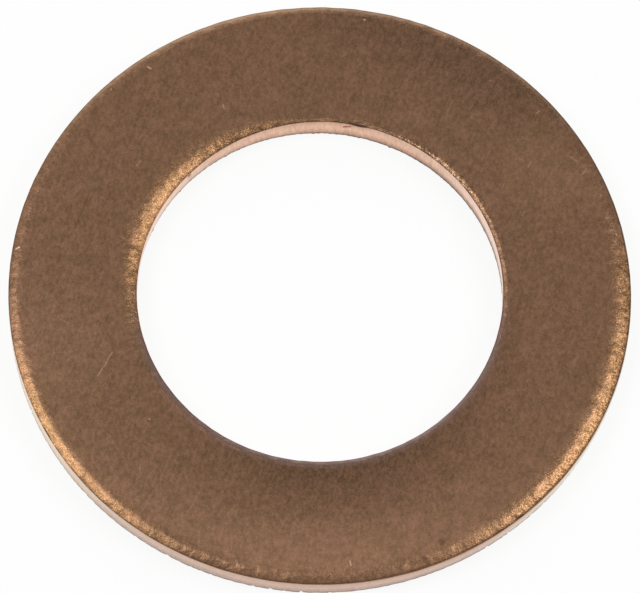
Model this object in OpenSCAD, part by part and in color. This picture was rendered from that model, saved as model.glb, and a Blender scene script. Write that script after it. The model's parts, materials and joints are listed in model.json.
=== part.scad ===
// Flat copper crush washer, blanked from strip in one stroke.
// It lies on its lower face, with the bore axis on +Z and the origin in the middle of that face.
// The upper face carries the die roll: both edges were drawn down as the punch went in.
// Below the roll each wall has a straight sheared land, and then a fracture band that leans back.

/* [Ring] */
// Outside diameter at the sheared land
outside_d = 24; // [18:0.1:40]
// Bore diameter at the sheared land, a loose fit on the plug's thread
bore_d = 14.1; // [8:0.1:20]
// Thickness of the strip, between the two sealing faces
thickness = 1.2; // [0.9:0.05:3]

/* [Blanked edges] */
// Radial width of the die roll round the outer edge, from the wall to the flat
rim_roll_w = 0.55; // [0.3:0.05:1]
// Depth of that roll below the upper face, where it would reach the wall
rim_roll_depth = 0.2; // [0.05:0.01:0.28]
// Radial width of the die roll round the bore, from the wall to the flat
bore_roll_w = 0.45; // [0.3:0.05:1]
// Depth of that roll below the upper face, where it would reach the wall
bore_roll_depth = 0.17; // [0.05:0.01:0.28]
// Radius of the corner between each die roll and its sheared land
corner_r = 0.05; // [0.02:0.01:0.1]
// Height of the fracture band above the lower face
fracture_h = 0.45; // [0.2:0.01:0.55]
// How far the fracture band leans back from the land at the lower face
fracture_setback = 0.02; // [0.01:0.01:0.12]

/* [Hidden] */

$fn = 192;
// Margin by which a cut runs past the metal that it removes
past = 0.2;
copper_brown = [0.48, 0.36, 0.28];

outside_r = outside_d / 2;
bore_r = bore_d / 2;
ring_w = outside_r - bore_r;

// What lies beyond an arc, within an outline that crosses it.
module beyond_arc(centre, r, outline) {
    difference() {
        polygon(outline);
        translate(centre) circle(r = r);
    }
}

// Half of the ring's section as blanked, from x = -ring_w / 2 to the wall at x = 0.
module blanked_edge(roll_w, roll_depth) {
    // The die roll is one arc, tangent to the upper face and as deep as roll_depth at the wall.
    roll_r = (roll_w ^ 2 + roll_depth ^ 2) / (2 * roll_depth);
    roll_centre = [-roll_w, thickness - roll_r];
    // The corner arc is tangent to the wall and, from inside, to the roll.
    corner_rise = sqrt((roll_r - corner_r) ^ 2 - (roll_w - corner_r) ^ 2);
    corner_centre = [-corner_r, roll_centre.y + corner_rise];
    corner_on_roll = roll_centre + (corner_centre - roll_centre) * roll_r / (roll_r - corner_r);
    corner_on_wall = [0, corner_centre.y];

    difference() {
        polygon([
            [-ring_w / 2, 0],
            [-fracture_setback, 0],
            [0, fracture_h],
            [0, thickness],
            [-ring_w / 2, thickness],
        ]);
        beyond_arc(roll_centre, roll_r, [
            [-roll_w, thickness + past],
            [-roll_w, thickness - roll_depth],
            [past, thickness - roll_depth],
            [past, thickness + past],
        ]);
        beyond_arc(corner_centre, corner_r, [
            corner_centre,
            corner_on_wall,
            corner_on_wall + [past, 0],
            corner_on_roll + [past, past],
            corner_on_roll,
        ]);
    }
}

// Section of the ring: the outer wall, and the bore wall facing the other way.
module section() {
    translate([outside_r, 0]) blanked_edge(rim_roll_w, rim_roll_depth);
    translate([bore_r, 0]) mirror([1, 0]) blanked_edge(bore_roll_w, bore_roll_depth);
}

module washer() {
    color(copper_brown) rotate_extrude() section();
}

washer();
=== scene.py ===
"""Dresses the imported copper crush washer: a fine ring mesh, aged copper, soft light and the photo's view."""

import json
import math
from typing import NamedTuple

import bpy
import numpy as np
from mathutils import Matrix, Vector


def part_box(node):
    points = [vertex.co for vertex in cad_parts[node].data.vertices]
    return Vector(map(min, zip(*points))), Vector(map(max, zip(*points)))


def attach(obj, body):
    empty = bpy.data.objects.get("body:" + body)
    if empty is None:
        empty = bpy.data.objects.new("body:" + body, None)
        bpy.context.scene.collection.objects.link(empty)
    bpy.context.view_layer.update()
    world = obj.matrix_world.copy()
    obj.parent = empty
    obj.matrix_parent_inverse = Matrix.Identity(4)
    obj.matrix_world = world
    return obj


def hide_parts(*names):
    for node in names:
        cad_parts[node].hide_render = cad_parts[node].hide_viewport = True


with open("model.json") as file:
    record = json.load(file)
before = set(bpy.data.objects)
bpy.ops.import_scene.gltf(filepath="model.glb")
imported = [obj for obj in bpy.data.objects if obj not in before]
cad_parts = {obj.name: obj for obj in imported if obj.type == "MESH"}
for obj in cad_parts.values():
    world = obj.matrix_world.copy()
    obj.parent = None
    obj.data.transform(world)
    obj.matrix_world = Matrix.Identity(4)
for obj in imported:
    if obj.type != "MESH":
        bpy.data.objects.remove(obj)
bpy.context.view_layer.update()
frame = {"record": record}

MM = 0.001

# Sizes of the part, in millimetres, from the frame
part_low, part_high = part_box("washer")
mounts = {mount["name"]: mount for mount in frame["record"]["mounts"]}
OUTSIDE_R = min(*part_high.xy, *-part_low.xy) / MM
THICKNESS = part_high.z / MM
BORE_R = mounts["bore"]["dims"]["r_mm"]
MIDDLE_R = (OUTSIDE_R + BORE_R) / 2
HALF_RING = (OUTSIDE_R - BORE_R) / 2


def linear(red, green, blue):
    """Colour for a node socket from display values of 0 to 255, by the sRGB curve."""
    shares = [value / 255 for value in (red, green, blue)]
    bent = [share / 12.92 if share <= 0.04045 else ((share + 0.055) / 1.055) ** 2.4 for share in shares]
    return (*bent, 1.0)


# Camera

# Size of the photo and the place of the origin in it, in pixels
FRAME_W = 640
FRAME_H = 593
ORIGIN_X = 319.73
ORIGIN_Y = 300.6
# A long lens: its focal length in pixels of the photo, and its distance from the washer in metres
FOCAL_PIXELS = 6207.6
CAMERA_DISTANCE = 0.24
CAMERA_ELEVATION = math.radians(67.85)
CAMERA_ROLL = math.radians(1.485)
SENSOR_MM = 36.0
CLIP_START = 0.01
CLIP_END = 20.0

back = Vector((0.0, -math.cos(CAMERA_ELEVATION), math.sin(CAMERA_ELEVATION)))
level_right = Vector((1.0, 0.0, 0.0))
level_up = back.cross(level_right)
right = level_right * math.cos(CAMERA_ROLL) + level_up * math.sin(CAMERA_ROLL)
up = level_up * math.cos(CAMERA_ROLL) - level_right * math.sin(CAMERA_ROLL)
metres_per_pixel = CAMERA_DISTANCE / FOCAL_PIXELS
aim = right * (FRAME_W / 2 - ORIGIN_X) * metres_per_pixel
aim += up * (ORIGIN_Y - FRAME_H / 2) * metres_per_pixel
eye = aim + back * CAMERA_DISTANCE

camera = bpy.data.cameras.new("camera")
camera.sensor_width = SENSOR_MM
camera.lens = FOCAL_PIXELS * SENSOR_MM / FRAME_W
camera.clip_start = CLIP_START
camera.clip_end = CLIP_END
camera_object = bpy.data.objects.new("camera", camera)
camera_object.matrix_world = Matrix.Translation(eye) @ Matrix((right, up, back)).transposed().to_4x4()
bpy.context.scene.collection.objects.link(camera_object)
bpy.context.scene.camera = camera_object


def on_face(x, y):
    """Place on the upper face, in millimetres from the axis, that a pixel of the photo shows."""
    ray = right * (x - FRAME_W / 2) + up * (FRAME_H / 2 - y) - back * FOCAL_PIXELS
    reach = (THICKNESS * MM - eye.z) / ray.z
    point = (eye + ray * reach) / MM
    return Vector((point.x, point.y, 0.0))


# Shape, with lengths in millimetres

SEGMENTS = 900
FLAT_ROWS = 20
ROLL_ROWS = 12
CORNER_ROWS = 6
LAND_ROWS = 10
FRACTURE_ROWS = 8
FOOT_ROWS = 3
UNDER_ROWS = 8
EDGE_ROWS = ROLL_ROWS + CORNER_ROWS + 1 + LAND_ROWS + FRACTURE_ROWS + FOOT_ROWS
SEED = 14
ZONES = ("roll", "corner", "wall", "brow", "broken", "foot", "under", "hurt")

# The upper face is crowned a little, most of all at the front
CROWN = 0.038
CROWN_FRONT = 0.014
# How steeply the die roll sets in, where 2 is close to an arc
ROLL_POWER = 2.4
# A painted dark line along the corner, standing for the corner's dark reflection: how far down the corner it
# runs and half its width, as shares of the corner
LINE_AT = 0.1
LINE_HALF_W = 0.4
# Share of the land below the corner that gets the browner painted reflection of the roll
BROW = 0.6
# Height at which the land breaks off, the limits of that ragged line, and how broken the last row looks
FRACTURE_H = 0.45
BREAK_LIMITS = (0.3, 0.6)
BREAK_SHARE = 0.35
# How the fracture leans back down its height, and how its chips deepen
LEAN_POWER = 0.7
CHIP_POWER = 3
# Chips are where their noise rises past a level, up to a limit
CHIP_FROM = 1.2
CHIP_LIMIT = 2
# Radius of the lower edges
FOOT_R = 0.014
# How narrow the part of the ring is where the second values of an edge hold
NARROW_FOCUS = 16
CORNER_FOCUS = 3
LEAN_FOCUS = 3


class Edge(NamedTuple):
    """One blanked edge, with lengths in millimetres and angles in degrees.

    The punch sat off centre, so most sizes are pairs. The second of a pair holds at an angle that goes with
    it, and the first at the opposite side."""

    # Radius of the land, and 1 where the metal lies within it or -1 where it lies outside it
    wall_r: float
    side: int
    # Width of the die roll and its slope at the corner, where they are largest, and how narrow that part is
    roll_w: tuple
    slope: tuple
    widest: float
    focus: float
    # Share to which the roll is narrowed at one more angle
    narrowed: float
    narrow_at: float
    # Radius of the corner below the roll, and the power by which bare metal sets in down it
    corner_r: tuple
    bare_power: tuple
    corner_at: float
    # How far the fracture leans back at the lower face
    lean: tuple
    lean_at: float
    # Power by which the painted contact shadow at the foot thins upwards, at the left of the ring and at the
    # right
    foot_power: tuple
    # Depth of the chips in the lower edge, which stand proud of it as a burr where the depth is negative
    chip: float
    # Whether the edge has the crack, the dent and the nick
    damaged: bool


RIM = Edge(
    wall_r=OUTSIDE_R,
    side=1,
    roll_w=(0.70, 1.02),
    slope=(0.45, 0.64),
    widest=-5,
    focus=4,
    narrowed=1.0,
    narrow_at=0,
    corner_r=(0.018, 0.085),
    bare_power=(2.0, 2.0),
    corner_at=-45,
    lean=(0.0, 0.07),
    lean_at=-25,
    foot_power=(6.0, 3.0),
    chip=0.03,
    damaged=False,
)
BORE = Edge(
    wall_r=BORE_R,
    side=-1,
    roll_w=(0.36, 1.14),
    slope=(0.5, 0.6),
    widest=155,
    focus=5,
    narrowed=0.3,
    narrow_at=82,
    corner_r=(0.04, 0.05),
    bare_power=(2.0, 0.6),
    corner_at=160,
    lean=(0.06, -0.028),
    lean_at=50,
    foot_power=(4.0, 0.9),
    chip=-0.015,
    damaged=True,
)


class Ripple(NamedTuple):
    """Irregular waves round an edge: their spread, and the shortest and the longest wavelength."""

    spread: float
    shortest: float
    longest: float


# The width of the roll, as a share of it, and then the corner in plan and in height
ROLL_RIPPLE = Ripple(0.03, 0.3, 2.5)
PLAN_RIPPLE = Ripple(0.006, 0.5, 6.0)
HEIGHT_RIPPLE = Ripple(0.006, 0.8, 9.0)
# The line where the land breaks off, in long waves and in short ones, and then the fracture's surface
BREAK_SWELL = Ripple(0.035, 1.5, 9.0)
BREAK_RIPPLE = Ripple(0.022, 0.25, 1.2)
FRACTURE_RIPPLE = Ripple(0.0035, 0.2, 1.5)
# The noise that chips rise from
CHIP_RIPPLE = Ripple(1.0, 0.2, 1.4)

# Damage to the bore's upper edge, placed by pixels of the photo: a crack that climbs the land towards the
# corner, a dent beside its upper end, darkened with painted shade, and a short nick down from the corner
CRACK_PIXELS = ((342.5, 124.0), (351.5, 124.6))
CRACK_HEIGHTS = (0.74, 0.92)
CRACK_HALF_W = 0.085
DENT_PIXEL = (359.0, 125.0)
DENT_HALF_W = 0.32
DENT_DROP = 0.085
NICK_PIXEL = (188.6, 170.5)
NICK_HALF_W = 0.11
NICK_LENGTH = 0.35
DAMAGE_DEPTH = 0.03
# How sharply the crack and the nick end, where 1 is an even slope
DAMAGE_SHARPNESS = 1.6

rng = np.random.RandomState(SEED)
angles = np.arange(SEGMENTS) * (2 * math.pi / SEGMENTS)


def between(pair, share):
    """Value that lies the given share of the way from the first of a pair to the second."""
    return pair[0] + (pair[1] - pair[0]) * share


def swing(towards, focus):
    """Share round the ring that is 1 at one angle, in degrees, and 0 at the opposite one."""
    return ((1 + np.cos(angles - math.radians(towards))) / 2) ** focus


def crown_drop(radius):
    """How far the upper face falls away from the middle of the ring."""
    crown = CROWN - CROWN_FRONT * np.sin(angles)
    return crown * ((radius - MIDDLE_R) / HALF_RING) ** 2


def ring_noise(ripple, radius, rows=1):
    """Seeded noise round a ring of the given radius, with the spread and the wavelengths of a ripple."""
    waves = np.fft.rfftfreq(SEGMENTS, 1 / SEGMENTS)
    length = 2 * math.pi * radius
    kept = (waves >= length / ripple.longest) & (waves <= length / ripple.shortest)
    phases = rng.uniform(0, 2 * math.pi, (rows, len(waves)))
    sizes = rng.rayleigh(1.0, (rows, len(waves)))
    values = np.fft.irfft(kept * sizes * np.exp(1j * phases), SEGMENTS, axis=1)
    return ripple.spread * (values / values.std(axis=1, keepdims=True))


def bearing_of(pixel):
    """Angle round the axis, in radians, of the place on the upper face that a pixel of the photo shows."""
    point = on_face(*pixel)
    return math.atan2(point.y, point.x) % (2 * math.pi)


def arc_from(pixel):
    """Distance round the bore from that bearing to each segment."""
    turn = angles - bearing_of(pixel)
    return BORE_R * ((turn + math.pi) % (2 * math.pi) - math.pi)


def cut_share(distance, half_w):
    """Share of a cut that is 1 along its middle and 0 from its half width on."""
    return np.clip(DAMAGE_SHARPNESS * (1 - distance / half_w), 0, 1)


def damage(height, land_top):
    """Share of the crack and the nick at points of the bore wall."""
    start, end = (bearing_of(pixel) for pixel in CRACK_PIXELS)
    along = (angles - start) / (end - start)
    crack = cut_share(abs(height - between(CRACK_HEIGHTS, along)), CRACK_HALF_W)
    crack = crack * ((along >= 0) & (along <= 1))
    nick = cut_share(abs(arc_from(NICK_PIXEL)), NICK_HALF_W) * cut_share(land_top - height, NICK_LENGTH)
    return np.maximum(crack, nick)


class Row(NamedTuple):
    """One row of points round the ring: their radii, their heights and their share of each zone."""

    radius: np.ndarray
    height: np.ndarray
    zones: dict


def edge_rows(edge):
    """Rows of one blanked edge, from the flat down to the lower face."""
    rows = []

    def add(inset, height, **zones):
        radius = np.minimum(edge.wall_r - edge.side * inset, OUTSIDE_R)
        rows.append(Row(radius + np.zeros(SEGMENTS), height + np.zeros(SEGMENTS), zones))

    def noise(ripple):
        return ring_noise(ripple, edge.wall_r)[0]

    wide = swing(edge.widest, edge.focus)
    narrow = swing(edge.narrow_at, NARROW_FOCUS)
    mean_roll_w = between(edge.roll_w, wide) * between((1.0, edge.narrowed), narrow)
    slope = between(edge.slope, wide)
    roll_drop = slope * mean_roll_w / ROLL_POWER
    tilt = np.arctan(slope)
    roll_w = mean_roll_w * (1 + noise(ROLL_RIPPLE))
    corner_swing = swing(edge.corner_at, CORNER_FOCUS)
    corner_r = between(edge.corner_r, corner_swing)
    bare_power = between(edge.bare_power, corner_swing)
    wobble = noise(PLAN_RIPPLE)
    dip = noise(HEIGHT_RIPPLE)
    dent = np.zeros(SEGMENTS)
    if edge.damaged:
        dent = np.exp(-(arc_from(DENT_PIXEL) / DENT_HALF_W) ** 2)
    dip -= DENT_DROP * dent

    def roll_height(inset):
        radius = edge.wall_r - edge.side * inset
        return THICKNESS - crown_drop(radius) - roll_drop * (1 - inset / roll_w) ** ROLL_POWER

    # Die roll
    corner_inset = corner_r * (1 - np.sin(tilt))
    for step in range(ROLL_ROWS):
        share = step / ROLL_ROWS
        inset = between((roll_w, corner_inset), share)
        height = roll_height(inset) + dip * share
        # In the dent the roll takes painted shade through its corner share
        add(inset + wobble * share, height, roll=share ** (ROLL_POWER - 1), corner=dent * share ** 2)
    # Corner into the sheared land. Off its painted dark line the share is below 0, which keeps the line
    # narrow.
    corner_top = roll_height(corner_inset) + dip
    for step in range(CORNER_ROWS + 1):
        share = step / CORNER_ROWS
        angle = between((tilt, math.pi / 2), share)
        inset = corner_r * (1 - np.sin(angle))
        height = corner_top - corner_r * (np.cos(tilt) - np.cos(angle))
        # The dent also takes the painted dark line down the corner, as painted shade
        line = np.maximum(dent, 1 - ((share - LINE_AT) / LINE_HALF_W) ** 2)
        bared = share ** bare_power
        add(inset + wobble * (1 - share), height, roll=1 - share, corner=line, wall=bared, brow=share)
    # Sheared land, which ends on a ragged line
    land_top = corner_top - corner_r * np.cos(tilt)
    ragged = noise(BREAK_SWELL) + noise(BREAK_RIPPLE)
    break_z = np.clip(FRACTURE_H + ragged, *BREAK_LIMITS)
    for step in range(1, LAND_ROWS + 1):
        share = step / LAND_ROWS
        height = between((land_top, break_z), share)
        reflected_brow_share = max(0.0, 1 - share / BROW)
        broken = BREAK_SHARE if step == LAND_ROWS else 0.0
        hurt = damage(height, land_top) if edge.damaged else 0.0
        add(DAMAGE_DEPTH * hurt, height, wall=1.0, brow=reflected_brow_share, broken=broken, hurt=hurt)
    # Fracture band, rough and leaning back
    lean = between(edge.lean, swing(edge.lean_at, LEAN_FOCUS))
    rough = ring_noise(FRACTURE_RIPPLE, edge.wall_r, FRACTURE_ROWS + 1)
    chips = edge.chip * np.clip(noise(CHIP_RIPPLE) - CHIP_FROM, 0, CHIP_LIMIT)
    foot_power = between(edge.foot_power, swing(0, 1))
    for step in range(1, FRACTURE_ROWS + 1):
        share = step / FRACTURE_ROWS
        height = between((break_z, FOOT_R), share)
        inset = lean * share ** LEAN_POWER + rough[step] + chips * share ** CHIP_POWER
        add(inset, height, wall=1.0, broken=1.0, foot=share ** foot_power)
    # Lower edge
    for step in range(1, FOOT_ROWS + 1):
        share = step / FOOT_ROWS
        angle = math.pi / 2 * share
        inset = lean + rough[FRACTURE_ROWS] + chips + FOOT_R * (1 - math.cos(angle))
        height = FOOT_R * (1 - math.sin(angle))
        add(inset, height, wall=1 - share, broken=1.0, foot=1.0, under=share)
    return rows


rim_rows = edge_rows(RIM)
bore_rows = edge_rows(BORE)
flat_rows = []
for step in range(1, FLAT_ROWS):
    radius = between((bore_rows[0].radius, rim_rows[0].radius), step / FLAT_ROWS)
    flat_rows.append(Row(radius, THICKNESS - crown_drop(radius), {}))
under_rows = []
for step in range(1, UNDER_ROWS):
    radius = between((rim_rows[-1].radius, bore_rows[-1].radius), step / UNDER_ROWS)
    under_rows.append(Row(radius, np.zeros(SEGMENTS), {"under": 1.0}))
rows = flat_rows + rim_rows + under_rows + bore_rows[::-1]

radii = np.array([row.radius for row in rows])
heights = np.array([row.height for row in rows])
plan = np.stack([radii * np.cos(angles), radii * np.sin(angles)], axis=-1)


def corners(values):
    """Values at the four corners of each quad, from values at the rows and segments."""
    below = np.roll(values, -1, axis=0)
    return np.stack([values, below, np.roll(below, -1, axis=1), np.roll(values, -1, axis=1)], axis=2)


points = np.concatenate([plan, heights[..., None]], axis=-1).reshape(-1, 3) * MM
quads = corners(np.arange(radii.size).reshape(radii.shape)).reshape(-1, 4)
mesh = bpy.data.meshes.new("washer_ring")
mesh.from_pydata(points.tolist(), [], quads.tolist())
mesh.update()
mesh.shade_smooth()
for zone in ZONES:
    layer = mesh.attributes.new(zone, "FLOAT", "POINT")
    shares = [np.broadcast_to(row.zones.get(zone, 0.0), SEGMENTS) for row in rows]
    layer.data.foreach_set("value", np.array(shares, dtype=np.float32).ravel())

# Map for baking: the upper face from above, the lower face in its hole, and the walls in straight strips

# Places and lengths on the map, as shares of its side
MAP_CENTRE = 0.385
UPPER_MAP_R = 0.378
LOWER_MAP_R = 0.212
STRIP_W = 0.058
STRIP_START = 0.015
RIM_STRIPS = (0.785, 0.857, 0.929)
RIM_STRIP_LENGTH = 0.97
BORE_STRIPS = (0.785, 0.857)
BORE_STRIP_LENGTH = 0.75

rim_corner = len(flat_rows) + ROLL_ROWS
rim_foot = len(flat_rows) + EDGE_ROWS - 1
bore_foot = rim_foot + UNDER_ROWS
bore_corner = bore_foot + EDGE_ROWS - 1 - ROLL_ROWS
bake_map = MAP_CENTRE + corners(plan) * (UPPER_MAP_R / OUTSIDE_R)
bake_map[rim_foot:bore_foot] = MAP_CENTRE + corners(plan)[rim_foot:bore_foot] * (LOWER_MAP_R / OUTSIDE_R)


def lay_strips(first, last, starts, length, along, across):
    """Lays the rows of one wall out as strips side by side, along one axis of the map."""
    steps = np.hypot(np.diff(radii.mean(1)[first:last + 1]), np.diff(heights.mean(1)[first:last + 1]))
    depth = np.concatenate([[0.0], np.cumsum(steps)]) / steps.sum() * STRIP_W
    per_strip = SEGMENTS // len(starts)
    place = np.arange(SEGMENTS) % per_strip
    begin = np.array(starts)[np.arange(SEGMENTS) // per_strip]
    for corner, (next_row, next_segment) in enumerate(((0, 0), (1, 0), (1, 1), (0, 1))):
        bake_map[first:last, :, corner, along] = STRIP_START + (place + next_segment) / per_strip * length
        bake_map[first:last, :, corner, across] = begin + depth[next_row:last - first + next_row, None]


lay_strips(rim_corner, rim_foot, RIM_STRIPS, RIM_STRIP_LENGTH, along=1, across=0)
lay_strips(bore_foot, bore_corner, BORE_STRIPS, BORE_STRIP_LENGTH, along=0, across=1)
mesh.uv_layers.new(name="OFBake").data.foreach_set("uv", bake_map.astype(np.float32).ravel())

washer = bpy.data.objects.new("washer_ring", mesh)
bpy.context.scene.collection.objects.link(washer)
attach(washer, "root")
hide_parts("washer")


# Nodes

# Sockets of the mix node for each kind of value: its two inputs and its result
MIX_SOCKETS = {"FLOAT": (2, 3, 0), "RGBA": (6, 7, 2)}
# Share of a mark's half width within which it is at full strength
MARK_CORE = 0.35


class Graph:
    """Short names for the nodes of one tree. They take plain values and sockets of other nodes alike."""

    def __init__(self, tree):
        self.tree = tree
        self.tree.nodes.clear()

    def node(self, kind, **settings):
        """New node with the given settings."""
        made = self.tree.nodes.new(kind)
        for name, value in settings.items():
            setattr(made, name, value)
        return made

    def feed(self, socket, value):
        """Links another socket to this one, or sets it to a plain value."""
        if isinstance(value, bpy.types.NodeSocket):
            self.tree.links.new(value, socket)
        else:
            socket.default_value = value

    def math(self, operation, first, second=0.0, clamp=False):
        """Result of an operation on one or two numbers."""
        made = self.node("ShaderNodeMath", operation=operation, use_clamp=clamp)
        self.feed(made.inputs[0], first)
        self.feed(made.inputs[1], second)
        return made.outputs[0]

    def chain(self, operation, values):
        """Numbers joined one after another by an operation."""
        result, *others = values
        for value in others:
            result = self.math(operation, result, value)
        return result

    def total(self, *values):
        """Sum of numbers."""
        return self.chain("ADD", values)

    def product(self, *values):
        """Product of numbers."""
        return self.chain("MULTIPLY", values)

    def highest(self, *values):
        """Highest of some numbers."""
        return self.chain("MAXIMUM", values)

    def weigh(self, *pairs):
        """Sum of numbers that each come with a weight."""
        return self.total(*(self.product(value, weight) for value, weight in pairs))

    def vector(self, operation, first, second=None, scale=None):
        """Result of an operation on vectors, which is a number where the operation measures them."""
        made = self.node("ShaderNodeVectorMath", operation=operation)
        self.feed(made.inputs[0], first)
        if second is not None:
            self.feed(made.inputs[1], second)
        if scale is not None:
            self.feed(made.inputs["Scale"], scale)
        measures = operation in ("LENGTH", "DISTANCE", "DOT_PRODUCT")
        return made.outputs["Value" if measures else "Vector"]

    def along(self, place, direction):
        """How far a place lies along a direction."""
        return self.vector("DOT_PRODUCT", place, direction)

    def combine(self, x=0.0, y=0.0, z=0.0):
        """Vector made of three numbers."""
        made = self.node("ShaderNodeCombineXYZ")
        for socket, value in zip(made.inputs, (x, y, z)):
            self.feed(socket, value)
        return made.outputs[0]

    def separate(self, place):
        """The three numbers that make up a vector."""
        made = self.node("ShaderNodeSeparateXYZ")
        self.feed(made.inputs[0], place)
        return made.outputs

    def span(self, value, start, end, low=0.0, high=1.0):
        """Number that goes smoothly from low to high as a value goes from start to end."""
        made = self.node("ShaderNodeMapRange", interpolation_type="SMOOTHSTEP")
        for socket, item in zip(made.inputs, (value, start, end, low, high)):
            self.feed(socket, item)
        return made.outputs[0]

    def noise(self, place, scale, detail, roughness):
        """Noise of about 0 to 1."""
        made = self.node("ShaderNodeTexNoise")
        self.feed(made.inputs["Vector"], place)
        made.inputs["Scale"].default_value = scale
        made.inputs["Detail"].default_value = detail
        made.inputs["Roughness"].default_value = roughness
        return made.outputs["Fac"]

    def mix(self, share, first, second, kind="RGBA"):
        """Colour, or number of the kind FLOAT, that lies a share of the way from the first to the second."""
        made = self.node("ShaderNodeMix", data_type=kind)
        first_input, second_input, result = MIX_SOCKETS[kind]
        self.feed(made.inputs[0], share)
        self.feed(made.inputs[first_input], first)
        self.feed(made.inputs[second_input], second)
        return made.outputs[result]

    def zone(self, name):
        """Share of one zone of the mesh."""
        return self.node("ShaderNodeAttribute", attribute_name=name).outputs["Fac"]

    def marks(self, place, marks, half_w):
        """Share of a set of short straight marks, each given by its two ends and its strength."""
        result = 0.0
        for start, end, strength in marks:
            run = end - start
            from_start = self.vector("SUBTRACT", place, start)
            reach = self.along(from_start, run / run.length_squared)
            reach = self.math("MAXIMUM", self.math("MINIMUM", reach, 1.0), 0.0)
            nearest = self.vector("ADD", self.vector("SCALE", run, scale=reach), start)
            gap = self.vector("DISTANCE", place, nearest)
            result = self.highest(result, self.span(gap, half_w * MARK_CORE, half_w, strength, 0.0))
        return result


# Aged copper, with lengths in millimetres

# Wear marks on the upper face, lightened partly as painted glints, each from one pixel of the photo to
# another, and its strength
BRIGHT_MARKS = (
    ((112, 352.5), (98, 375.5), 0.28),
    ((147.5, 66.5), (151, 68.5), 0.85),
    ((111, 88), (111, 90), 0.35),
    ((223, 105), (224, 108), 0.35),
    ((15.3, 248.2), (19.3, 246.4), 1.0),
    ((364.2, 19.4), (365.2, 19.4), 1.0),
    ((537, 113), (539, 111), 0.45),
    ((490, 81), (491, 80), 0.3),
    ((616, 232), (617, 234), 0.5),
    ((137, 165), (141, 161), 0.26),
    ((140, 465), (140, 468), 0.3),
    ((350, 561), (351, 565), 0.75),
    ((149, 419), (150, 419), 0.5),
    ((531, 162), (528, 167), 0.25),
    ((525, 211), (522, 215), 0.26),
    ((571, 157), (577, 161), 0.25),
    ((586, 170), (582, 174), 0.27),
)
DARK_MARKS = (
    ((90, 191), (75, 229), 0.3),
    ((148, 420), (148, 421), 0.6),
    ((625, 317), (625, 319), 0.4),
)
MARK_HALF_W = 0.04
# Dull spots, wider than the marks
DULL_SPOTS = (
    ((441.4, 541.0), (441.8, 542.0), 0.42),
    ((423.2, 557.8), (424.2, 558.2), 0.35),
    ((403.2, 560.0), (403.2, 561.5), 0.25),
)
SPOT_HALF_W = 0.17


def placed(marks):
    """Marks with their pixels turned into places on the upper face."""
    return [(on_face(*start), on_face(*end), strength) for start, end, strength in marks]


copper = bpy.data.materials.new("aged_copper")
copper.use_nodes = True
metal = Graph(copper.node_tree)

# Places on the washer
place = metal.vector("SCALE", metal.node("ShaderNodeTexCoord").outputs["Object"], scale=1 / MM)
place_x, place_y, place_z = metal.separate(place)
flat_place = metal.combine(place_x, place_y)
reach = metal.vector("LENGTH", flat_place)
bearing = metal.vector("SCALE", metal.vector("NORMALIZE", flat_place), scale=MIDDLE_R)

# Places squeezed in one direction, so that noise is drawn out in it: from front to back for the brushing,
# along the hairlines that wiping left, along the radius, and down the walls
BRUSH_SQUEEZE = (1.0, 0.7, 1.0)
WIPE_RUN = Vector((0.34, 0.94, 0.0))
WIPE_ACROSS = Vector((-WIPE_RUN.y, WIPE_RUN.x, 0.0))
WIPE_SQUEEZE = 0.09
RADIAL_SQUEEZE = 0.4
AXIAL_SQUEEZE = 0.25
brushed = metal.vector("MULTIPLY", place, BRUSH_SQUEEZE)
wiped = metal.combine(
    metal.along(flat_place, WIPE_ACROSS),
    metal.product(metal.along(flat_place, WIPE_RUN), WIPE_SQUEEZE),
)
radial = metal.vector("ADD", bearing, metal.combine(z=metal.product(reach, RADIAL_SQUEEZE)))
axial = metal.vector("ADD", bearing, metal.combine(z=metal.product(place_z, AXIAL_SQUEEZE)))

# Noise, from coarse to fine on the face and then on the walls
blotch = metal.noise(place, scale=0.32, detail=3.0, roughness=0.55)
mottle = metal.noise(place, scale=1.7, detail=3.0, roughness=0.55)
swell = metal.noise(place, scale=2.2, detail=1.0, roughness=0.5)
peel = metal.noise(place, scale=5.0, detail=2.0, roughness=0.6)
grain = metal.noise(brushed, scale=8.0, detail=2.0, roughness=0.65)
hairs = metal.noise(wiped, scale=9.0, detail=2.0, roughness=0.6)
strokes = metal.noise(radial, scale=10.0, detail=2.0, roughness=0.6)
dust = metal.noise(place, scale=17.0, detail=1.0, roughness=0.5)
drag = metal.noise(axial, scale=7.0, detail=3.0, roughness=0.6)
crumbs = metal.noise(place, scale=12.0, detail=3.0, roughness=0.65)

# Zones, and the bore's half of the ring against the rim's
SIDES_FADE = 1.0
roll, corner, wall, brow, broken, foot, under, hurt = (metal.zone(name) for name in ZONES)
upper = metal.math("SUBTRACT", 1.0, metal.highest(wall, under))
inside = metal.span(reach, MIDDLE_R + SIDES_FADE, MIDDLE_R - SIDES_FADE)
outside = metal.math("SUBTRACT", 1.0, inside)

# The fades below are given to span: the values that one starts and ends at and, where it has four numbers,
# what it goes from and to. Those named X and Y run over places on the washer, and those named R over radii.

# Tarnished face
OLIVE = linear(130, 99, 75)
ROSY = linear(136, 102, 80)
ROSY_HUE = (0.57, 0.95)
hue = metal.weigh((blotch, 0.5), (mottle, 0.9), (grain, 0.12))
face = metal.mix(metal.span(hue, *ROSY_HUE), OLIVE, ROSY)
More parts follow.
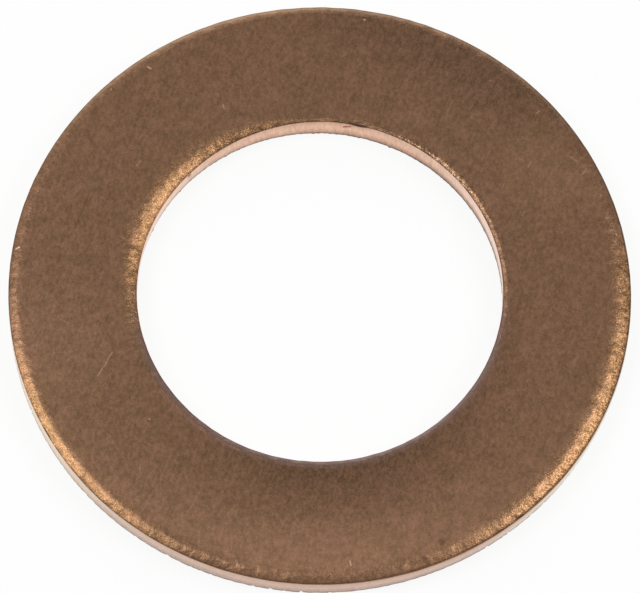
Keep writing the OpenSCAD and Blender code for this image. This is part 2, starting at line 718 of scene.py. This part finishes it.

# Painted shade along the back, on the front of the rim's roll and on the face by the bore at the front right;
# the tarnish is thinner in a place at either side. At the front the face is brighter towards the rim and
# darker towards the bore, partly from thinner tarnish and partly as painted light and shade.
FRONT_BRIGHTEST = (0.14, -0.99, 0.0)
FRONT_FOCUS = 5.0
FRONT_R = (8.0, 11.0)
FRONT_EVEN = 0.38
FRONT_TARNISH_AND_LIGHT_TINT = 0.53
# Painted shade on the front of the rim's roll
ROLL_DARKEST = (-0.17, -0.985, 0.0)
ROLL_RUN = (8.5, 11.3)
ROLL_R = (11.3, 11.65)
ROLL_PAINTED_SHADE = -0.25
# Painted shade on the face by the bore at the front right
BORE_DARKEST = (0.5, -0.87, 0.0)
BORE_RUN = (2.0, 6.5)
BY_BORE_R = (BORE_R + 1.3, BORE_R + 0.4)
BORE_PAINTED_SHADE = -0.14
# Painted shade near the rim at the back right
BACK_DARKEST = (0.5, 0.87, 0.0)
BACK_RUN = (8.5, 11.5)
BACK_PAINTED_SHADE = -0.21
THIN_PLACES = (((9.25, 5.6, 0.0), 0.2), ((-9.9, -2.6, 0.0), 0.10))
THIN_RUN = (3.5, 0.5)
front = metal.math("DIVIDE", metal.along(flat_place, FRONT_BRIGHTEST), reach, clamp=True)
front = metal.math("POWER", front, FRONT_FOCUS)
outward = metal.math("SUBTRACT", metal.span(reach, *FRONT_R), FRONT_EVEN)
painted_roll_shade = metal.span(metal.along(flat_place, ROLL_DARKEST), *ROLL_RUN)
painted_roll_shade = metal.product(painted_roll_shade, metal.span(reach, *ROLL_R))
painted_bore_shade = metal.span(metal.along(flat_place, BORE_DARKEST), *BORE_RUN)
painted_bore_shade = metal.product(painted_bore_shade, metal.span(reach, *BY_BORE_R))
painted_back_shade = metal.span(metal.along(flat_place, BACK_DARKEST), *BACK_RUN)
thin = []
for spot, tint in THIN_PLACES:
    thin.append(metal.span(metal.vector("DISTANCE", flat_place, spot), *THIN_RUN, 0.0, tint))

MOTTLE_SHADE = (0.25, 0.75, 1.0, 1.08)
GRAIN_SHADE = (0.2, 0.8, -0.17, 0.17)
PALE_HAIRS = (0.58, 0.72, 0.0, 0.16)
DARK_HAIRS = (0.42, 0.28, 0.0, -0.14)
DUST_SHADE = (0.2, 0.8, -0.14, 0.14)
shade = metal.total(
    metal.span(mottle, *MOTTLE_SHADE),
    metal.span(grain, *GRAIN_SHADE),
    metal.span(hairs, *PALE_HAIRS),
    metal.span(hairs, *DARK_HAIRS),
    metal.span(dust, *DUST_SHADE),
    metal.product(front, outward, FRONT_TARNISH_AND_LIGHT_TINT),
    metal.product(painted_roll_shade, ROLL_PAINTED_SHADE),
    metal.product(painted_bore_shade, BORE_PAINTED_SHADE),
    metal.product(painted_back_shade, BACK_PAINTED_SHADE),
    *thin,
)
face = metal.vector("SCALE", face, scale=shade)

# Rolled edges, worn and pitted in places, their gold partly wear and partly painted highlight: the rim at both
# sides of the front, the bore at the back left
WORN_AND_LIT_GOLD = linear(168, 127, 80)
WORN_AND_LIT_TINT = 0.45
WORN_AND_LIT_SLANT = 0.25
RIM_WORN_AND_LIT_Y = (1.5, -2.5)
RIM_FRONT_Y = (-8.5, -11.2, 1.0, 0.15)
BORE_WORN_AND_LIT_X = (1.0, -3.0)
BORE_WORN_AND_LIT_Y = (-4.0, 0.0)
PIT_AND_GLINT_SHADE = (0.49, 0.86, -0.5, 0.5)
PIT_AND_GLINT_X = (-10.0, 2.0, 0.72, 1.3)
GLINT_FLECK_GOLD = linear(224, 172, 120)
GLINT_FLECK_DUST = (0.58, 0.70)
GLINT_FLECK_X = (-10.0, -5.0, 0.45, 0.6)
slanted_y = metal.math("SUBTRACT", place_y, metal.product(place_x, WORN_AND_LIT_SLANT))
rim_worn_and_lit = metal.product(metal.span(slanted_y, *RIM_WORN_AND_LIT_Y), metal.span(place_y, *RIM_FRONT_Y))
bore_worn_and_lit = metal.product(metal.span(place_x, *BORE_WORN_AND_LIT_X), metal.span(place_y, *BORE_WORN_AND_LIT_Y))
worn_and_lit = metal.product(roll, metal.mix(inside, rim_worn_and_lit, bore_worn_and_lit, "FLOAT"))
face = metal.mix(metal.product(worn_and_lit, WORN_AND_LIT_TINT), face, WORN_AND_LIT_GOLD)
# Speckle on those edges, partly real pits and partly painted glints
pits_and_glints = metal.weigh((peel, 0.6), (dust, 0.55), (strokes, 0.2))
pits_and_glints = metal.product(metal.span(pits_and_glints, *PIT_AND_GLINT_SHADE), metal.span(place_x, *PIT_AND_GLINT_X))
face = metal.vector("SCALE", face, scale=metal.total(1.0, metal.product(worn_and_lit, pits_and_glints)))
# Golden flecks there are painted glints
glint_flecks = metal.product(metal.span(dust, *GLINT_FLECK_DUST), worn_and_lit, metal.span(place_x, *GLINT_FLECK_X))
face = metal.mix(glint_flecks, face, GLINT_FLECK_GOLD)

# The bore roll at the back right has painted glints between dull spots of painted shade
GLINT_ZONE_X = (1.8, 3.6)
GLINT_ZONE_Y = (0.0, 2.5)
DULL_SPOT_SHADE = (0.54, 0.46, 0.0, -0.5)
PAINTED_GLINT = linear(232, 196, 148)
GLINT_Y = (2.0, 5.5)
GLINT_SPECKS = (0.50, 0.62, 0.0, 0.85)
glint_noise = metal.weigh((dust, 0.5), (grain, 0.5))
glint_zone = metal.product(roll, inside, metal.span(place_x, *GLINT_ZONE_X), metal.span(place_y, *GLINT_ZONE_Y))
painted_dull_spots = metal.product(glint_zone, metal.span(glint_noise, *DULL_SPOT_SHADE))
face = metal.vector("SCALE", face, scale=metal.total(1.0, painted_dull_spots))
painted_glints = metal.product(glint_zone, metal.span(place_y, *GLINT_Y), metal.span(glint_noise, *GLINT_SPECKS))
face = metal.mix(painted_glints, face, PAINTED_GLINT)

# The bore edge is burnished grey along the front, and the rim at the back is lightened as a painted highlight
BURNISHED = linear(130, 109, 104)
BURNISH_R = (BORE_R + 0.42, BORE_R + 0.04)
BURNISH_Y = (1.0, -4.0, 0.0, 0.8)
PAINTED_RIM_HIGHLIGHT = linear(196, 170, 134)
RIM_HIGHLIGHT_R = (OUTSIDE_R - 0.22, OUTSIDE_R - 0.05)
RIM_HIGHLIGHT_Y = (5.0, 10.0, 0.0, 0.25)
burnish = metal.product(metal.span(reach, *BURNISH_R), metal.span(place_y, *BURNISH_Y))
face = metal.mix(burnish, face, BURNISHED)
painted_rim_highlight = metal.product(metal.span(reach, *RIM_HIGHLIGHT_R), metal.span(place_y, *RIM_HIGHLIGHT_Y))
face = metal.mix(painted_rim_highlight, face, PAINTED_RIM_HIGHLIGHT)

# Scratches, lightened partly as painted glints, and dark specks
SCRATCH_AND_GLINT = linear(224, 184, 154)
SCRATCH_AND_GLINT_DUST = (0.35, 0.6, 0.5, 1.2)
SPECK = linear(70, 52, 42)
bright = metal.marks(flat_place, placed(BRIGHT_MARKS), MARK_HALF_W)
bright = metal.product(upper, bright, metal.span(dust, *SCRATCH_AND_GLINT_DUST))
face = metal.mix(bright, face, SCRATCH_AND_GLINT)
dark = metal.highest(
    metal.marks(flat_place, placed(DARK_MARKS), MARK_HALF_W),
    metal.marks(flat_place, placed(DULL_SPOTS), SPOT_HALF_W),
)
face = metal.mix(metal.product(upper, dark), face, SPECK)

# Sheared wall, with the bore's brighter and redder
WALL_NOISE = (0.3, 0.7)
LAND = (linear(198, 167, 146), linear(212, 175, 152))
TORN = (linear(184, 158, 146), linear(214, 182, 166))
BORE_WALL = (linear(213, 167, 138), linear(239, 193, 163))
BORE_WALL_SHARE = 0.85
land = metal.mix(metal.span(drag, *WALL_NOISE), *LAND)
torn = metal.mix(metal.span(crumbs, *WALL_NOISE), *TORN)
bare = metal.mix(broken, land, torn)
bore_wall = metal.mix(metal.span(drag, *WALL_NOISE), *BORE_WALL)
bare = metal.mix(metal.product(inside, BORE_WALL_SHARE), bare, bore_wall)

# Painted reflection of the white surroundings: the bore wall is palest at both sides, and the outer wall
# towards its left and right ends
BORE_SIDE_REFLECTION = linear(255, 218, 194)
BORE_SIDE_REFLECTION_X = (4.0, 6.5, 0.0, 0.6)
LEFT_END_REFLECTION = linear(248, 222, 192)
LEFT_END_REFLECTION_X = (-6.0, -11.5, 0.0, 0.75)
RIGHT_END_REFLECTION = linear(252, 234, 206)
RIGHT_END_REFLECTION_X = (5.5, 10.5, 0.0, 0.7)
RIGHT_END_REFLECTION_Y = (-1.5, -5.0)
bore_side_reflection = metal.product(inside, metal.span(metal.math("ABSOLUTE", place_x), *BORE_SIDE_REFLECTION_X))
bare = metal.mix(bore_side_reflection, bare, BORE_SIDE_REFLECTION)
left_end_reflection = metal.product(outside, metal.span(place_x, *LEFT_END_REFLECTION_X))
bare = metal.mix(left_end_reflection, bare, LEFT_END_REFLECTION)
right_end_reflection = metal.product(outside, metal.span(place_x, *RIGHT_END_REFLECTION_X), metal.span(place_y, *RIGHT_END_REFLECTION_Y))
bare = metal.mix(right_end_reflection, bare, RIGHT_END_REFLECTION)

# Browner painted reflection of the roll below the corner, painted contact shadow at the foot, and the red of
# the crack and the nick
BROW_REFLECTION = linear(172, 124, 92)
RIM_BROW_REFLECTION_X = (-12.0, 6.0, 0.1, 0.5)
BORE_BROW_REFLECTION_LEFT_X = (-6.0, 0.0)
BORE_BROW_REFLECTION_RIGHT_X = (4.5, 0.5, 0.0, 0.6)
# Painted contact shadow at the foot, darkest on the bore's right
FOOT_SHADOW = (linear(88, 70, 67), linear(58, 42, 40))
DARK_FOOT_SHADOW_X = (1.0, 5.0)
HURT_RED = linear(132, 48, 34)
rim_brow_reflection = metal.span(place_x, *RIM_BROW_REFLECTION_X)
bore_brow_reflection = metal.product(metal.span(place_x, *BORE_BROW_REFLECTION_RIGHT_X), metal.span(place_x, *BORE_BROW_REFLECTION_LEFT_X))
brow_reflection = metal.mix(inside, rim_brow_reflection, bore_brow_reflection, "FLOAT")
bare = metal.mix(metal.product(brow, brow_reflection), bare, BROW_REFLECTION)
painted_foot_shadow = metal.mix(metal.product(inside, metal.span(place_x, *DARK_FOOT_SHADOW_X)), *FOOT_SHADOW)
bare = metal.mix(foot, bare, painted_foot_shadow)
bare = metal.mix(hurt, bare, HURT_RED)

# Face and wall together, with the painted dark reflection line along their corner, redder at the rim's front
# and the bore's left
RIM_LINE = (linear(80, 56, 42), linear(128, 84, 60))
RIM_LINE_Y = (-9.0, -11.5)
BORE_LINE = (linear(84, 60, 62), linear(116, 76, 56))
BORE_LINE_X = (-3.0, -5.5)
LINE_X = (-11.5, -5.0, 0.35, 0.75)
colour = metal.mix(wall, face, bare)
rim_line = metal.mix(metal.span(place_y, *RIM_LINE_Y), *RIM_LINE)
bore_line = metal.mix(metal.span(place_x, *BORE_LINE_X), *BORE_LINE)
painted_corner_line = metal.mix(inside, rim_line, bore_line)
colour = metal.mix(metal.product(corner, metal.span(place_x, *LINE_X)), colour, painted_corner_line)

GRAIN_ROUGHNESS = (0.2, 0.8, 0.31, 0.39)
roughness = metal.total(
    metal.span(grain, *GRAIN_ROUGHNESS),
    metal.weigh((roll, 0.08), (wall, -0.10), (broken, 0.16)),
)

# Relief, strongest on the rolls and the fracture, with its depth in metres
SKIN = (0.0, 0.5, 0.12, 1.0)
FRACTURE_RELIEF = 0.8
BUMP_DEPTH = 0.00003
skin_relief = metal.weigh((peel, 0.4), (swell, 1.1), (dust, 0.22), (strokes, 0.2))
relief = metal.total(
    metal.product(metal.span(roll, *SKIN), skin_relief),
    metal.product(crumbs, broken, FRACTURE_RELIEF),
)
bump = metal.node("ShaderNodeBump")
bump.inputs["Strength"].default_value = 1.0
bump.inputs["Distance"].default_value = BUMP_DEPTH
metal.feed(bump.inputs["Height"], relief)

shader = metal.node("ShaderNodeBsdfPrincipled")
shader.inputs["Metallic"].default_value = 1.0
metal.feed(shader.inputs["Base Color"], colour)
metal.feed(shader.inputs["Roughness"], roughness)
metal.feed(shader.inputs["Normal"], bump.outputs[0])
metal.feed(metal.node("ShaderNodeOutputMaterial").inputs["Surface"], shader.outputs[0])
mesh.materials.append(copper)


# Floor: white paper that glows a little for the eye and in reflections, and takes the shadow

# Lengths are in metres from here on
FLOOR_HALF = 3.0
FLOOR_DROP = 0.00001
PAPER_WHITE = (0.85, 0.85, 0.85, 1.0)
PAPER_GLOW = 0.88
floor_mesh = bpy.data.meshes.new("floor")
floor_mesh.from_pydata(
    [(x * FLOOR_HALF, y * FLOOR_HALF, -FLOOR_DROP) for x, y in ((-1, -1), (1, -1), (1, 1), (-1, 1))],
    [],
    [(0, 1, 2, 3)],
)
floor = bpy.data.objects.new("floor", floor_mesh)
bpy.context.scene.collection.objects.link(floor)
paper = bpy.data.materials.new("white_paper")
paper.use_nodes = True
sheet = Graph(paper.node_tree)
path = sheet.node("ShaderNodeLightPath").outputs
seen = sheet.highest(path["Is Camera Ray"], path["Is Glossy Ray"], path["Is Transmission Ray"])
matt = sheet.node("ShaderNodeBsdfDiffuse")
matt.inputs["Color"].default_value = PAPER_WHITE
glow = sheet.node("ShaderNodeEmission")
glow.inputs["Strength"].default_value = 1.0
blend = sheet.node("ShaderNodeMixShader")
sheet.feed(blend.inputs[0], sheet.product(seen, PAPER_GLOW))
sheet.feed(blend.inputs[1], matt.outputs[0])
sheet.feed(blend.inputs[2], glow.outputs[0])
sheet.feed(sheet.node("ShaderNodeOutputMaterial").inputs["Surface"], blend.outputs[0])
floor_mesh.materials.append(paper)


# Light: a dim room with a glow low at the back, and two softboxes

# Brightness of the room by height, from 0 at the horizon to 1 overhead, at the back and all round
SKY_BACK = ((0.0, 2.8), (0.12, 2.6), (0.42, 1.9), (0.62, 0.9), (0.8, 0.52), (0.93, 0.64), (1.0, 0.64))
SKY_ROUND = ((0.0, 0.9), (0.06, 0.5), (0.3, 0.42), (0.6, 0.5), (0.8, 0.54), (0.93, 0.64), (1.0, 0.64))
GLOW_TOWARD = (-0.2, 0.98, 0.0)
GLOW_RUN = (0.70, 0.97)
FRONT_DIM = (-0.1, 0.33, 0.68, 1.0)
world = bpy.data.worlds.new("studio")
bpy.context.scene.world = world
world.use_nodes = True
room = Graph(world.node_tree)
towards = room.node("ShaderNodeTexCoord").outputs["Generated"]
_, backward, climb = room.separate(towards)
skies = []
for sky in (SKY_ROUND, SKY_BACK):
    ramp = room.node("ShaderNodeValToRGB")
    stops = ramp.color_ramp.elements
    while len(stops) < len(sky):
        stops.new(0.5)
    for stop, (position, level) in zip(stops, sky):
        stop.position = position
        stop.color = (level, level, level, 1.0)
    room.feed(ramp.inputs[0], climb)
    skies.append(ramp.outputs[0])
glow_share = room.span(room.along(towards, GLOW_TOWARD), *GLOW_RUN)
background = room.node("ShaderNodeBackground")
room.feed(background.inputs["Color"], room.mix(glow_share, *skies))
room.feed(background.inputs["Strength"], room.span(backward, *FRONT_DIM))
room.feed(room.node("ShaderNodeOutputWorld").inputs["Surface"], background.outputs[0])

LAMP_DISTANCE = 0.25


def softbox(name, toward, width, height, radiance):
    """An oval lamp that faces the washer from the given direction."""
    lamp = bpy.data.lights.new(name, "AREA")
    lamp.shape = "ELLIPSE"
    lamp.size = width
    lamp.size_y = height
    lamp.energy = radiance * math.pi * (math.pi / 4) * width * height
    lamp_object = bpy.data.objects.new(name, lamp)
    away = Vector(toward).normalized()
    lamp_object.location = away * LAMP_DISTANCE
    lamp_object.rotation_euler = away.to_track_quat("Z", "Y").to_euler()
    bpy.context.scene.collection.objects.link(lamp_object)


softbox("lamp_right", toward=(0.662, -0.037, 0.748), width=0.135, height=0.145, radiance=4.9)
softbox("lamp_left", toward=(-0.525, -0.01, 0.85), width=0.115, height=0.155, radiance=5.7)

bpy.context.scene.view_settings.view_transform = "Standard"
